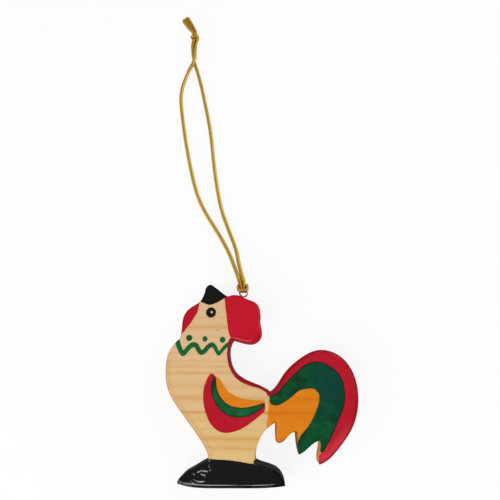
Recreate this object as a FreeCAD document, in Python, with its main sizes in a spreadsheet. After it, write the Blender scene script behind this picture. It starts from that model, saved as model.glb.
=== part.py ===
"""Rooster of Barcelos hanging ornament: a sawn and painted board, a screw eye and a knotted cord.

Millimetres.  The board lies on its back: +Z is out of the painted face, +Y runs from the foot to
the beak and +X from the breast to the tail.  The origin is on the back face, in the middle of the
board's length and width.
"""
import FreeCAD, Part
import math
import os

from FreeCAD import Placement, Rotation, Vector

ORIGIN = Vector(0, 0, 0)
ALONG_X = Vector(1, 0, 0)
ALONG_Y = Vector(0, 1, 0)
ALONG_Z = Vector(0, 0, 1)

# Driving dimensions: alias, value and what it measures
SIZES = (
    ("board_width", 68.6, "breast to the outside of the tail"),
    ("board_height", 69.6, "sole to the tip of the beak"),
    ("board_thickness", 11.0, "planed board"),
    ("edge_ease", 0.45, "eased edge of both faces, each way"),
    ("eye_place", -6.4, "screw eye, right of the middle of the board"),
    ("eye_wire", 0.7, "wire of the screw eye"),
    ("eye_outer", 3.8, "ring of the screw eye, outside"),
    ("eye_closed_angle", 340.0, "bent part of the ring, in degrees"),
    ("eye_stand_off", 0.65, "bare neck between the wood and the ring"),
    ("shank_diameter", 1.0, "rolled thread of the screw eye, over the crests"),
    ("shank_length", 6.0, "threaded shank without its tip"),
    ("shank_tip", 1.2, "point of the shank"),
    ("pilot_clearance", 0.04, "pilot hole over the shank, across"),
    ("pilot_spare", 0.6, "pilot hole past the point"),
    ("cord_diameter", 1.5, "braided cord, lying free"),
    ("hitch_cord_diameter", 1.05, "the same cord squeezed in the girth hitch"),
    ("knot_cord_diameter", 1.3, "the same cord drawn tight in the end knot"),
    ("squeeze_length", 1.3, "run over which the cord narrows into the hitch"),
    ("cord_sides", 8, "flat sides of the cord's tube"),
)

# Part of a cord's shorter run that an arc takes up on each side of its point
ARC_SHARE = 0.45

# How near an edge lies to a face of the board, as a share of its thickness, to count as in it
IN_FACE_SHARE = 0.01

# How far a tube's volume may be from its section times its length, as a share of that
TUBE_TOLERANCE_SHARE = 0.01

# Outline of the board, clockwise from the foot: places as shares of its width and height from
# the middle.  Each stroke is one smooth saw cut and starts where the one before it ends.
BREAST_SHARES = (
    (-0.267, -0.378), (-0.267, -0.349), (-0.295, -0.296), (-0.359, -0.213), (-0.449, -0.101),
    (-0.486, -0.034), (-0.500, 0.052), (-0.490, 0.138), (-0.464, 0.184), (-0.433, 0.216),
)
HEAD_SHARES = (
    (-0.433, 0.216), (-0.423, 0.272), (-0.418, 0.324), (-0.389, 0.372), (-0.326, 0.416),
    (-0.305, 0.457), (-0.275, 0.500), (-0.241, 0.486), (-0.174, 0.440),
)
COMB_SHARES = (
    (-0.174, 0.440), (-0.122, 0.446), (-0.064, 0.422), (-0.018, 0.399), (0.000, 0.359),
    (-0.001, 0.312), (0.007, 0.266), (0.003, 0.230), (-0.033, 0.197), (-0.086, 0.197),
    (-0.149, 0.214),
)
NECK_SHARES = (
    (-0.149, 0.214), (-0.166, 0.178), (-0.165, 0.112), (-0.136, 0.047), (-0.070, 0.004),
    (0.006, -0.027), (0.050, -0.053),
)
TAIL_SHARES = (
    (0.050, -0.053), (0.076, -0.032), (0.118, 0.027), (0.201, 0.108), (0.310, 0.156),
    (0.418, 0.124), (0.481, 0.040), (0.500, -0.070), (0.469, -0.207), (0.386, -0.320),
    (0.306, -0.385), (0.289, -0.391),
)
RED_NOTCH_SHARES = ((0.289, -0.391), (0.288, -0.360), (0.297, -0.322), (0.294, -0.283))
GREEN_TIP_SHARES = ((0.294, -0.283), (0.248, -0.307), (0.207, -0.339), (0.188, -0.347))
GREEN_NOTCH_SHARES = ((0.188, -0.347), (0.181, -0.305), (0.179, -0.244))
ORANGE_TIP_SHARES = (
    (0.179, -0.244), (0.137, -0.263), (0.112, -0.287), (0.091, -0.294), (0.074, -0.281),
)
ORANGE_NOTCH_SHARES = ((0.074, -0.281), (0.073, -0.244), (0.076, -0.198))
RUMP_SHARES = (
    (0.076, -0.198), (0.051, -0.213), (0.013, -0.247), (-0.019, -0.310), (-0.029, -0.359),
    (-0.029, -0.385),
)
HEEL_SHARES = ((-0.029, -0.385), (0.038, -0.407), (0.089, -0.431), (0.112, -0.463), (0.119, -0.487))
SOLE_SHARES = (
    (0.119, -0.487), (0.061, -0.494), (-0.102, -0.499), (-0.251, -0.500), (-0.357, -0.494),
    (-0.417, -0.480),
)
INSTEP_SHARES = ((-0.417, -0.480), (-0.411, -0.463), (-0.350, -0.420), (-0.300, -0.392), (-0.267, -0.378))
OUTLINE_SHARES = (
    BREAST_SHARES, HEAD_SHARES, COMB_SHARES, NECK_SHARES, TAIL_SHARES, RED_NOTCH_SHARES,
    GREEN_TIP_SHARES, GREEN_NOTCH_SHARES, ORANGE_TIP_SHARES, ORANGE_NOTCH_SHARES, RUMP_SHARES,
    HEEL_SHARES, SOLE_SHARES, INSTEP_SHARES,
)

# Girth hitch: the cord's route from the middle of the ring's top wire, from the left strand,
# in front of the wire, through the ring, up behind it, over it and across the front, then back
HITCH_ROUTE = (
    (-1.76, 3.40, 0.70), (-1.08, 1.16, 1.43), (-0.53, -1.23, 1.16), (-0.57, -1.22, -1.15),
    (-1.30, 1.35, -1.05), (-2.30, 1.15, 1.19), (-1.75, -1.10, 2.25), (-0.12, -0.85, 2.45),
    (1.50, -1.10, 2.25), (1.42, 1.40, 1.20), (1.25, 1.40, -1.05), (0.57, -1.22, -1.15),
    (0.56, -1.22, 1.15), (0.14, 1.15, 1.42), (-0.10, 3.40, 0.70),
)

# Free strands, from the hitch down to the table and along it to the knot
LEFT_ROUTE = (
    (-10.0, 43.2, 5.0), (-13.1, 51.0, 3.2), (-18.1, 60.0, 1.4), (-23.0, 67.8, 0.80),
    (-27.3, 77.4, 0.77), (-31.6, 96.5, 0.77), (-34.3, 112.5, 0.77), (-35.9, 125.5, 0.77),
    (-32.8, 136.6, 0.77), (-29.35, 141.8, 2.65), (-29.1, 146.0, 2.35), (-29.5, 149.0, 0.82),
    (-29.62, 151.0, 0.77),
)
RIGHT_ROUTE = (
    (-8.2, 43.2, 5.0), (-9.4, 50.5, 3.3), (-13.2, 60.5, 1.4), (-16.2, 69.0, 0.80),
    (-18.0, 78.0, 0.77), (-19.9, 91.0, 0.77), (-21.3, 104.5, 0.77), (-24.2, 119.5, 0.77),
    (-27.3, 133.5, 0.77), (-30.1, 142.3, 0.77), (-31.1, 147.1, 0.77), (-31.16, 151.0, 0.77),
)

# End knot: the right-hand strand turns once round the other, and both cut tails lean left
KNOT_CORE_ROUTE = (
    (-31.16, 151.0, 0.77), (-30.71, 152.9, 1.49), (-30.0, 154.7, 2.23), (-30.53, 157.2, 2.07),
    (-32.36, 160.5, 0.84), (-35.4, 165.2, 0.77),
)
KNOT_TURN_ROUTE = (
    (-29.62, 151.0, 0.77), (-29.3, 152.6, 0.80), (-28.35, 153.6, 1.70), (-28.75, 153.9, 3.55),
    (-31.27, 153.9, 3.57), (-31.68, 155.0, 1.06), (-29.5, 156.4, 0.69), (-30.46, 159.7, 0.72),
    (-34.1, 166.3, 0.77),
)


def make_sheet(doc):
    """Put the driving dimensions into the sheet, one row each."""
    sheet = doc.addObject("Spreadsheet::Sheet", "Sizes")
    for row, (alias, value, meaning) in enumerate(SIZES, start=1):
        sheet.set(f"A{row}", alias)
        sheet.set(f"B{row}", str(value))
        sheet.setAlias(f"B{row}", alias)
        sheet.set(f"C{row}", meaning)
    doc.recompute()
    return sheet


def origin_plane(body, role):
    """One of a body's own origin planes, found by its role."""
    return next(feature for feature in body.Origin.OriginFeatures if feature.Role == role)


def stroke_curve(shares, width, height):
    """Smooth saw cut through places given as shares of the board's width and height."""
    curve = Part.BSplineCurve()
    curve.interpolate([Vector(x * width, y * height, 0) for x, y in shares])
    return curve


def comb_top(outline, place):
    """Highest point of the outline on the line x = place, and so the seat of the screw eye."""
    box = outline.BoundBox
    upright = Part.makeLine(Vector(place, box.YMin - box.YLength, 0),
                            Vector(place, box.YMax + box.YLength, 0))
    return max(vertex.Y for vertex in outline.section(upright).Vertexes)


def make_board(doc, sheet):
    """Sawn board: padded outline, pilot hole for the eye and eased edges on both faces."""
    body = doc.addObject("PartDesign::Body", "rooster_board")
    sketch = body.newObject("Sketcher::SketchObject", "rooster_outline")
    sketch.AttachmentSupport = [(origin_plane(body, "XY_Plane"), "")]
    sketch.MapMode = "FlatFace"
    for shares in OUTLINE_SHARES:
        sketch.addGeometry(stroke_curve(shares, sheet.board_width, sheet.board_height), False)
    doc.recompute()

    pad = body.newObject("PartDesign::Pad", "board_pad")
    pad.Profile = sketch
    pad.setExpression("Length", "Sizes.board_thickness")
    doc.recompute()

    seat = comb_top(sketch.Shape, sheet.eye_place)
    sheet.set("E1", str(seat))
    sheet.setAlias("E1", "eye_seat")
    doc.recompute()

    pilot = body.newObject("PartDesign::SubtractiveCylinder", "pilot_hole")
    pilot.setExpression("Radius", "(Sizes.shank_diameter + Sizes.pilot_clearance) / 2")
    pilot.setExpression("Height", "Sizes.shank_length + Sizes.shank_tip + Sizes.pilot_spare"
                                  " + Sizes.shank_diameter")
    pilot.Placement = Placement(ORIGIN, Rotation(ALONG_X, 90))
    pilot.setExpression("Placement.Base.x", "Sizes.eye_place")
    pilot.setExpression("Placement.Base.y", "Sizes.eye_seat + Sizes.shank_diameter")
    pilot.setExpression("Placement.Base.z", "Sizes.board_thickness / 2")
    doc.recompute()

    eased = body.newObject("PartDesign::Chamfer", "eased_edges")
    eased.Base = (pilot, face_edges(pilot.Shape, sheet.board_thickness))
    eased.setExpression("Size", "Sizes.edge_ease")
    body.Tip = eased
    return body


def face_edges(shape, thickness):
    """Names of the edges that lie flat in the back or the front face."""
    names = []
    for number, edge in enumerate(shape.Edges, start=1):
        box = edge.BoundBox
        middle = (box.ZMin + box.ZMax) / 2
        near = thickness * IN_FACE_SHARE
        flat = box.ZLength < near
        at_face = min(abs(middle), abs(middle - thickness)) < near
        if flat and at_face:
            names.append(f"Edge{number}")
    return names


def make_eye(doc):
    """Screw eye: bent wire ring, short neck, threaded shank and point in one piece."""
    ring = doc.addObject("Part::Torus", "eye_ring")
    ring.setExpression("Radius1", "(Sizes.eye_outer - Sizes.eye_wire) / 2")
    ring.setExpression("Radius2", "Sizes.eye_wire / 2")
    ring.setExpression("Angle3", "Sizes.eye_closed_angle")
    ring.Placement = Placement(ORIGIN, Rotation(ALONG_Z, -90))
    ring.setExpression("Placement.Base.x", "Sizes.eye_place")
    ring.setExpression("Placement.Base.y",
                       "Sizes.eye_seat + Sizes.eye_stand_off + Sizes.eye_outer / 2")
    ring.setExpression("Placement.Base.z", "Sizes.board_thickness / 2")

    neck = downward(doc, "Part::Cylinder", "eye_neck", "Sizes.eye_seat + Sizes.eye_stand_off"
                                                       " + Sizes.eye_wire / 2")
    neck.setExpression("Radius", "Sizes.eye_wire / 2")
    neck.setExpression("Height", "Sizes.eye_stand_off + Sizes.eye_wire / 2 + Sizes.eye_wire")

    shank = downward(doc, "Part::Cylinder", "eye_shank", "Sizes.eye_seat")
    shank.setExpression("Radius", "Sizes.shank_diameter / 2")
    shank.setExpression("Height", "Sizes.shank_length")

    point = downward(doc, "Part::Cone", "eye_point", "Sizes.eye_seat - Sizes.shank_length")
    point.setExpression("Radius1", "Sizes.shank_diameter / 2")
    point.Radius2 = 0
    point.setExpression("Height", "Sizes.shank_tip")

    eye = doc.addObject("Part::MultiFuse", "screw_eye")
    eye.Shapes = [ring, neck, shank, point]
    eye.Refine = True
    return eye


def downward(doc, kind, name, top):
    """A round piece on the eye's own line, starting at the height top and pointing at the foot."""
    piece = doc.addObject(kind, name)
    piece.Placement = Placement(ORIGIN, Rotation(ALONG_X, 90))
    piece.setExpression("Placement.Base.x", "Sizes.eye_place")
    piece.setExpression("Placement.Base.y", top)
    piece.setExpression("Placement.Base.z", "Sizes.board_thickness / 2")
    return piece


def rounded_path(points, name):
    """Wire of straight runs joined by tangent arcs, and a line with the radii of the arcs.

    Each arc takes ARC_SHARE of the shorter of its two runs, on both sides of its point.
    """
    edges = []
    radii = []
    start = points[0]
    for before, corner, after in zip(points, points[1:], points[2:]):
        back = before - corner
        ahead = after - corner
        reach = ARC_SHARE * min(back.Length, ahead.Length)
        half_turn = (math.pi - back.getAngle(ahead)) / 2
        radius = reach / math.tan(half_turn)
        back.normalize()
        ahead.normalize()
        first = corner + back * reach
        last = corner + ahead * reach
        inward = (back + ahead).normalize()
        middle = corner + inward * (radius / math.cos(half_turn) - radius)
        edges.append(Part.LineSegment(start, first).toShape())
        edges.append(Part.Arc(first, middle, last).toShape())
        radii.append(radius)
        start = last
    edges.append(Part.LineSegment(start, points[-1]).toShape())
    wire = Part.Wire(edges)
    listed = ", ".join(f"{radius:.1f}" for radius in radii)
    print(f"{name}: length {wire.Length:.1f}, arc radii {listed}")
    return wire


def make_tube(doc, name, points, diameter):
    """Cord swept along its rounded path, as a tube with flat sides.

    diameter is the alias of the tube's size across its corners.
    """
    wire = rounded_path(points, name)
    path = doc.addObject("Part::Feature", f"{name}_path")
    path.Shape = wire
    section = doc.addObject("Part::RegularPolygon", f"{name}_section")
    section.setExpression("Polygon", "Sizes.cord_sides")
    section.setExpression("Circumradius", f"Sizes.{diameter} / 2")
    section.Placement = Placement(points[0], Rotation(ALONG_Z, points[1] - points[0]))
    tube = doc.addObject("Part::Sweep", name)
    tube.Sections = [section]
    tube.Spine = (path, [])
    tube.Solid = True
    tube.Frenet = False
    return tube


def make_taper(doc, name, start, towards):
    """Cone in which the free cord narrows into the hitch."""
    cone = doc.addObject("Part::Cone", name)
    cone.setExpression("Radius1", "Sizes.cord_diameter / 2")
    cone.setExpression("Radius2", "Sizes.hitch_cord_diameter / 2")
    cone.setExpression("Height", "Sizes.squeeze_length")
    cone.Placement = Placement(start, Rotation(ALONG_Z, towards - start))
    return cone


def make_hitch(doc, wire_top):
    """Girth hitch round the ring's top wire, with the two tapers that lead into it."""
    points = [wire_top + Vector(*place) for place in HITCH_ROUTE]
    turns = make_tube(doc, "hitch_turns", points, "hitch_cord_diameter")
    left = make_taper(doc, "hitch_left_taper", points[0], points[1])
    right = make_taper(doc, "hitch_right_taper", points[-1], points[-2])
    hitch = doc.addObject("Part::MultiFuse", "girth_hitch")
    hitch.Shapes = [turns, left, right]
    return hitch, points[0], points[-1]


def make_strand(doc, name, start, route):
    """Free strand from the hitch to the knot."""
    points = [start] + [Vector(*place) for place in route]
    return make_tube(doc, name, points, "cord_diameter")


def make_knot(doc):
    """End knot: the straight strand, and the strand that turns round it, with their tails."""
    core = make_tube(doc, "knot_core", [Vector(*place) for place in KNOT_CORE_ROUTE],
                     "knot_cord_diameter")
    turn = make_tube(doc, "knot_turn", [Vector(*place) for place in KNOT_TURN_ROUTE],
                     "knot_cord_diameter")
    knot = doc.addObject("Part::Compound", "end_knot")
    knot.Links = [core, turn]
    return knot


def check_tube(tube):
    """Compare a tube's volume with its section times its length."""
    section = Part.Face(tube.Sections[0].Shape)
    share = tube.Shape.Volume / (section.Area * tube.Spine[0].Shape.Length)
    print(f"{tube.Name}: volume {share:.4f} of section times length")
    return abs(share - 1) < TUBE_TOLERANCE_SHARE


def check_document(doc):
    """Stop if any object failed or any solid is missing or invalid."""
    for item in doc.Objects:
        if "Invalid" in item.State or "Error" in item.State:
            raise RuntimeError(f"{item.Name} failed: {item.State}")
        if item.isDerivedFrom("Part::Feature") and (item.Shape.isNull() or not item.Shape.isValid()):
            raise RuntimeError(f"{item.Name} has no valid shape")


def main():
    doc = FreeCAD.newDocument("rooster_ornament")
    sheet = make_sheet(doc)
    board = make_board(doc, sheet)
    eye = make_eye(doc)
    ring_radius = (sheet.eye_outer - sheet.eye_wire) / 2
    ring_centre = sheet.eye_seat + sheet.eye_stand_off + sheet.eye_outer / 2
    wire_top = Vector(sheet.eye_place, ring_centre + ring_radius, sheet.board_thickness / 2)
    print(f"ring's top wire at {wire_top.x:.3f}, {wire_top.y:.3f}, {wire_top.z:.3f}")
    hitch, left_start, right_start = make_hitch(doc, wire_top)
    left = make_strand(doc, "cord_left", left_start, LEFT_ROUTE)
    right = make_strand(doc, "cord_right", right_start, RIGHT_ROUTE)
    knot = make_knot(doc)
    doc.recompute()
    check_document(doc)
    for tube in (doc.hitch_turns, left, right, doc.knot_core, doc.knot_turn):
        if not check_tube(tube):
            raise RuntimeError(f"{tube.Name} is not a full tube")
    os.makedirs("parts", exist_ok=True)
    for piece in (board, eye, hitch, left, right, knot):
        piece.Label = piece.Name
        piece.Shape.exportStep(f"parts/{piece.Label}.step")
        box = piece.Shape.BoundBox
        print(f"{piece.Label}: {len(piece.Shape.Solids)} solid(s), volume {piece.Shape.Volume:.1f}, "
              f"x {box.XMin:.2f} to {box.XMax:.2f}, y {box.YMin:.2f} to {box.YMax:.2f}, "
              f"z {box.ZMin:.2f} to {box.ZMax:.2f}")


main()
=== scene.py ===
"""Rooster of Barcelos hanging ornament: its looks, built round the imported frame.

A sawn pine board, painted by hand and dipped in clear lacquer, with a steel screw eye in the top
of the head and a doubled gold cord.  Everything is in metres, in the frame's own axes: +Z out of
the painted face, +Y from the foot to the beak and +X from the breast to the tail.
"""

import logging
import math
from dataclasses import dataclass
from enum import Enum
from itertools import product
from typing import Any, Callable, Optional, Sequence, Union

import bpy
import numpy as np
from mathutils import Matrix, Vector
from mathutils.geometry import delaunay_2d_cdt


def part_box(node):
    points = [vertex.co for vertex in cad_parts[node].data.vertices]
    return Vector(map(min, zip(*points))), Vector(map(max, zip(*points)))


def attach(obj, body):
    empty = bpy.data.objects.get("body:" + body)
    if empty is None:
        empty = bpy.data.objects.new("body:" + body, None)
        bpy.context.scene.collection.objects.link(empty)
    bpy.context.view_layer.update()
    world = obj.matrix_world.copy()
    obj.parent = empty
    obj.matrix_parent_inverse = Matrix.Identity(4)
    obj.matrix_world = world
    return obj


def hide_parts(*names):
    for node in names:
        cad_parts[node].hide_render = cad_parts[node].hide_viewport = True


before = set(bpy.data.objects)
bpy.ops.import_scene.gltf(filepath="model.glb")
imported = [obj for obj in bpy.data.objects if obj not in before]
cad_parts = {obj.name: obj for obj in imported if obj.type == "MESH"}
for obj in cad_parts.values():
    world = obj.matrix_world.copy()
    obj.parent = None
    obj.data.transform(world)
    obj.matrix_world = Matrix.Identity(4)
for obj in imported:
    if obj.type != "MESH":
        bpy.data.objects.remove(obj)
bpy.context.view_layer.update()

LOG = logging.getLogger("rooster")
MM = 0.001
Array = np.ndarray
Mesh = bpy.types.Mesh
Object = bpy.types.Object
Socket = bpy.types.NodeSocket
Place = tuple[float, float]


def from_hex(code: str) -> tuple[float, float, float, float]:
    """Linear colour of a screen colour written as six hex digits.

    Args:
        code: red, green and blue, two digits each.

    Returns:
        Linear red, green, blue and an alpha of 1.
    """
    parts = [int(code[start:start + 2], 16) / 255 for start in (0, 2, 4)]
    linear = [p / 12.92 if p <= 0.04045 else ((p + 0.055) / 1.055) ** 2.4 for p in parts]
    return linear[0], linear[1], linear[2], 1.0


Number = Union["Signal", float]


class Signal:
    """A number in a node tree: arithmetic on it adds the Math nodes that work it out."""

    def __init__(self, maker: "NodeMaker", socket: Socket) -> None:
        """Wrap a socket of the tree that the maker builds."""
        self.maker = maker
        self.socket = socket

    def _math(self, operation: str, *values: Number) -> "Signal":
        """Add one Math node on the values, in order, and give its result."""
        node = self.maker.node("ShaderNodeMath", {"operation": operation}, dict(enumerate(values)))
        return Signal(self.maker, node.outputs[0])

    def __add__(self, other: Number) -> "Signal":
        """Sum."""
        return self._math("ADD", self, other)

    __radd__ = __add__

    def __sub__(self, other: Number) -> "Signal":
        """Difference."""
        return self._math("SUBTRACT", self, other)

    def __rsub__(self, other: float) -> "Signal":
        """Difference from a plain number."""
        return self._math("SUBTRACT", other, self)

    def __mul__(self, other: Number) -> "Signal":
        """Product."""
        return self._math("MULTIPLY", self, other)

    __rmul__ = __mul__

    def __truediv__(self, other: Number) -> "Signal":
        """Quotient."""
        return self._math("DIVIDE", self, other)

    def __abs__(self) -> "Signal":
        """Size without its sign."""
        return self._math("ABSOLUTE", self)

    def least(self, other: Number) -> "Signal":
        """The smaller of two numbers."""
        return self._math("MINIMUM", self, other)

    def most(self, other: Number) -> "Signal":
        """The larger of two numbers."""
        return self._math("MAXIMUM", self, other)

    def rise(self, low: float, high: float) -> "Signal":
        """Smooth step from 0 at low to 1 at high; low may be the larger.

        Args:
            low: where the step starts.
            high: where it ends.

        Returns:
            The step.
        """
        turned = low > high
        ends = {1: min(low, high), 2: max(low, high), 3: float(turned), 4: float(not turned)}
        node = self.maker.node("ShaderNodeMapRange", {"interpolation_type": "SMOOTHSTEP"},
                               {0: self, **ends})
        return Signal(self.maker, node.outputs[0])


class NodeMaker:
    """Adds nodes to one tree."""

    def __init__(self, tree: bpy.types.NodeTree) -> None:
        """Empty the tree and start on it."""
        self.tree = tree
        self.tree.nodes.clear()

    def node(self, kind: str, settings: Optional[dict[str, Any]] = None,
             inputs: Optional[dict[Union[int, str], Any]] = None) -> bpy.types.Node:
        """Add a node.

        Args:
            kind: the node's type.
            settings: its own settings, set before its sockets.
            inputs: what its inputs get, by index or name.

        Returns:
            The new node.
        """
        node = self.tree.nodes.new(kind)
        for key, value in (settings or {}).items():
            setattr(node, key, value)
        self.connect(node, inputs or {})
        return node

    def connect(self, node: bpy.types.Node, inputs: dict[Union[int, str], Any]) -> None:
        """Link or set inputs of a node.

        Args:
            node: the node.
            inputs: signals, sockets, colours in hex digits or plain values, by index or name.
        """
        for key, value in inputs.items():
            if isinstance(value, Signal):
                value = value.socket
            if isinstance(value, Socket):
                self.tree.links.new(value, node.inputs[key])
            else:
                node.inputs[key].default_value = from_hex(value) if isinstance(value, str) else value


class Blend(Enum):
    """The ways in which one colour lies over another."""

    COVER = "MIX"
    GLAZE = "MULTIPLY"


class Bench(NodeMaker):
    """Builds one material round a Principled shader."""

    NOISE_SPREAD = 2.6

    def __init__(self, name: str) -> None:
        """Start a material with its shader and output.

        Args:
            name: of the material.
        """
        self.material = bpy.data.materials.new(name)
        self.material.use_nodes = True
        super().__init__(self.material.node_tree)
        self.shader = self.node("ShaderNodeBsdfPrincipled")
        self.output = self.node("ShaderNodeOutputMaterial", {}, {0: self.shader.outputs[0]})

    def attribute(self, name: str) -> Signal:
        """A number stored on the mesh."""
        node = self.node("ShaderNodeAttribute", {"attribute_name": name})
        return Signal(self, node.outputs["Fac"])

    def place(self) -> Socket:
        """Object coordinates, in metres."""
        return self.node("ShaderNodeTexCoord").outputs["Object"]

    def axes(self) -> tuple[Signal, Signal, Signal]:
        """Object coordinates as three numbers, in millimetres."""
        node = self.node("ShaderNodeSeparateXYZ", {}, {0: self.place()})
        return tuple(Signal(self, output) / MM for output in node.outputs)

    def noise(self, cell: Union[float, Sequence[float]], detail: float = 2.0,
              roughness: float = 0.5) -> Signal:
        """Smooth noise about 0, from about -1 to 1.

        Args:
            cell: size of one blotch in millimetres, along X, Y and Z where they differ.
            detail: octaves.
            roughness: weight of the finer octaves.

        Returns:
            The noise.
        """
        scale = tuple(1 / (size * MM) for size in np.broadcast_to(cell, 3).tolist())
        vector = self.node("ShaderNodeVectorMath", {"operation": "MULTIPLY"},
                           {0: self.place(), 1: scale})
        node = self.node("ShaderNodeTexNoise", {},
                         {"Vector": vector.outputs[0], "Scale": 1.0, "Detail": detail,
                          "Roughness": roughness})
        return (Signal(self, node.outputs["Fac"]) - 0.5) * self.NOISE_SPREAD

    def blend(self, below: Any, above: Any, share: Number,
              way: Blend = Blend.COVER) -> Socket:
        """One colour laid over another.

        Args:
            below: colour or colour socket underneath.
            above: colour or colour socket on top.
            share: how much of the upper one shows.
            way: whether it covers the lower one or glazes it.

        Returns:
            The mixed colour.
        """
        settings = {"data_type": "RGBA", "blend_type": way.value, "clamp_factor": True}
        node = self.node("ShaderNodeMix", settings, {0: share, 6: below, 7: above})
        return node.outputs[2]

    def layer(self, ground: Any, layers: Sequence[tuple[Any, Number]]) -> Socket:
        """Several colours laid over a ground, one after another.

        Args:
            ground: the colour or colour socket underneath.
            layers: each colour or colour socket, with how much of it shows.

        Returns:
            The mixed colour.
        """
        for colour, share in layers:
            ground = self.blend(ground, colour, share)
        return ground

    def relief(self, height: Signal, depth: float) -> None:
        """Give the surface fine relief.

        Args:
            height: relief from about -1 to 1.
            depth: what a height of 1 stands for, in millimetres.
        """
        node = self.node("ShaderNodeBump", {}, {"Strength": 1.0, "Distance": depth * MM,
                                                "Height": height})
        self.connect(self.shader, {"Normal": node.outputs[0]})


def put(name: str, data: Any) -> Object:
    """Put data into the scene as a new object at the origin.

    Args:
        name: of the object.
        data: its mesh, curve, camera or light.

    Returns:
        The object.
    """
    item = bpy.data.objects.new(name, data)
    bpy.context.scene.collection.objects.link(item)
    return item


def points_of(mesh: Mesh) -> Array:
    """Places of a mesh's points.

    Args:
        mesh: the mesh.

    Returns:
        X, Y and Z of each, in millimetres.
    """
    places = np.empty(len(mesh.vertices) * 3)
    mesh.vertices.foreach_get("co", places)
    return places.reshape(-1, 3) / MM


def smooth_mesh(name: str, points: Array, faces: list[list[int]]) -> Mesh:
    """Smoothly shaded mesh.

    Args:
        name: of the mesh.
        points: its points, in millimetres.
        faces: numbers of the points round each face.

    Returns:
        The mesh.
    """
    mesh = bpy.data.meshes.new(name)
    mesh.from_pydata((points * MM).tolist(), [], faces)
    mesh.polygons.foreach_set("use_smooth", np.ones(len(faces), bool))
    return mesh


def keep_numbers(mesh: Mesh, name: str, values: Array) -> None:
    """Store one number for each point on the mesh."""
    layer = mesh.attributes.new(name, "FLOAT", "POINT")
    layer.data.foreach_set("value", values.astype(np.float32))


def distance_along(path: Array) -> Array:
    """Distance along a path at each of its points."""
    return np.append(0, np.cumsum(np.linalg.norm(np.diff(path, axis=0), axis=1)))


def places_along(path: Array, distances: Array) -> Array:
    """Places on a path at distances along it."""
    travelled = distance_along(path)
    return np.stack([np.interp(distances, travelled, column) for column in path.T], 1)


class Photo:
    """The camera that took the photograph, and the way from its pixels to the painted face."""

    WIDE = 500
    LONG_SIDE_MM = 36.0
    FOCAL_PX = 460.0
    EYE_MM = (3.4, 0.4, 181.0)
    RIGHT = (0.99912587, 0.0, -0.04180297)
    UP = (0.01136861, 0.9623094, 0.27171928)
    BACK = (0.04022739, -0.27195701, 0.96146822)

    def __init__(self, face: float) -> None:
        """Set the height of the painted face, in millimetres."""
        self.face = face

    def to_board(self, pixels: Sequence[Place]) -> Array:
        """Places on the painted face that pixels of the photograph show.

        Each pixel's ray is followed from the camera to the height of the face.

        Args:
            pixels: across and down, in the photograph's frame.

        Returns:
            X and Y of each, in millimetres.
        """
        middle = self.WIDE / 2
        flat = np.asarray(pixels, float)
        ray = np.stack([(flat[:, 0] - middle) / self.FOCAL_PX,
                        (middle - flat[:, 1]) / self.FOCAL_PX, -np.ones(len(flat))], axis=1)
        ray = ray @ np.array([self.RIGHT, self.UP, self.BACK])
        eye = np.array(self.EYE_MM)
        reach = (self.face - eye[2]) / ray[:, 2]
        return (eye + ray * reach[:, None])[:, :2]

    def trace(self, pixels: Sequence[Place], closed: bool) -> Array:
        """Smooth line on the painted face through pixels of the photograph."""
        return smooth_line(self.to_board(pixels), closed)

    def millimetres(self, pixels: float) -> float:
        """Length on the painted face of so many pixels, near the rooster's breast."""
        ends = self.to_board(((200.0, 350.0), (200.0 + pixels, 350.0)))
        return float(ends[1, 0] - ends[0, 0])

    def make_camera(self) -> Object:
        """Set up the scene's camera at the photograph's place.

        Returns:
            The camera.
        """
        data = bpy.data.cameras.new("photo_camera")
        data.sensor_width = self.LONG_SIDE_MM
        data.lens = self.LONG_SIDE_MM * self.FOCAL_PX / self.WIDE
        data.clip_start = 0.01
        camera = put("photo_camera", data)
        turn = Matrix((self.RIGHT, self.UP, self.BACK)).transposed()
        camera.matrix_world = Matrix.Translation(Vector(self.EYE_MM) * MM) @ turn.to_4x4()
        bpy.context.scene.camera = camera
        return camera


class Paint(Enum):
    """What lies on the bare wood, each with the name of its attribute."""

    BLACK = "black_paint"
    WHITE = "white_paint"
    RED = "red_paint"
    GREEN = "green_paint"
    ORANGE = "orange_paint"
    SIDE_RED = "side_red_paint"
    SADDLE_RED = "saddle_red_paint"
    SPECK = "dark_speck"


def distance_to_line(points: Array, line: Array) -> tuple[Array, Array]:
    """Distance from points to a broken line: the least over its runs of the distance to each.

    Args:
        points: places, one row each.
        line: the line's points in order.

    Returns:
        The distances, and how far along the line the nearest place is, counted in runs.
    """
    best = np.full(len(points), np.inf)
    along = np.zeros(len(points))
    for number, (start, end) in enumerate(zip(line, line[1:])):
        run = end - start
        share = np.clip((points - start) @ run / max(float(run @ run), 1e-12), 0, 1)
        gap = np.hypot(*(points - start - share[:, None] * run).T)
        nearer = gap < best
        best[nearer] = gap[nearer]
        along[nearer] = number + share[nearer]
    return best, along


def is_inside(points: Array, loop: Array) -> Array:
    """Which points lie in a closed loop: those whose ray to the right crosses it an odd number
    of times.

    Args:
        points: places, one row each.
        loop: the loop's points in order, the first not repeated.

    Returns:
        True for each point inside.
    """
    inside = np.zeros(len(points), bool)
    x, y = points.T
    for (x0, y0), (x1, y1) in zip(loop, np.roll(loop, -1, axis=0)):
        if y0 != y1:
            crosses = ((y0 > y) != (y1 > y)) & (x < (x1 - x0) * (y - y0) / (y1 - y0) + x0)
            inside ^= crosses
    return inside


def depth_in_loop(points: Array, loop: Array) -> Array:
    """How far points lie inside a closed loop: the distance to it, negative outside it."""
    gap = distance_to_line(points, np.vstack([loop, loop[:1]]))[0]
    return np.where(is_inside(points, loop), gap, -gap)


LINE_STEPS = 5


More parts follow.
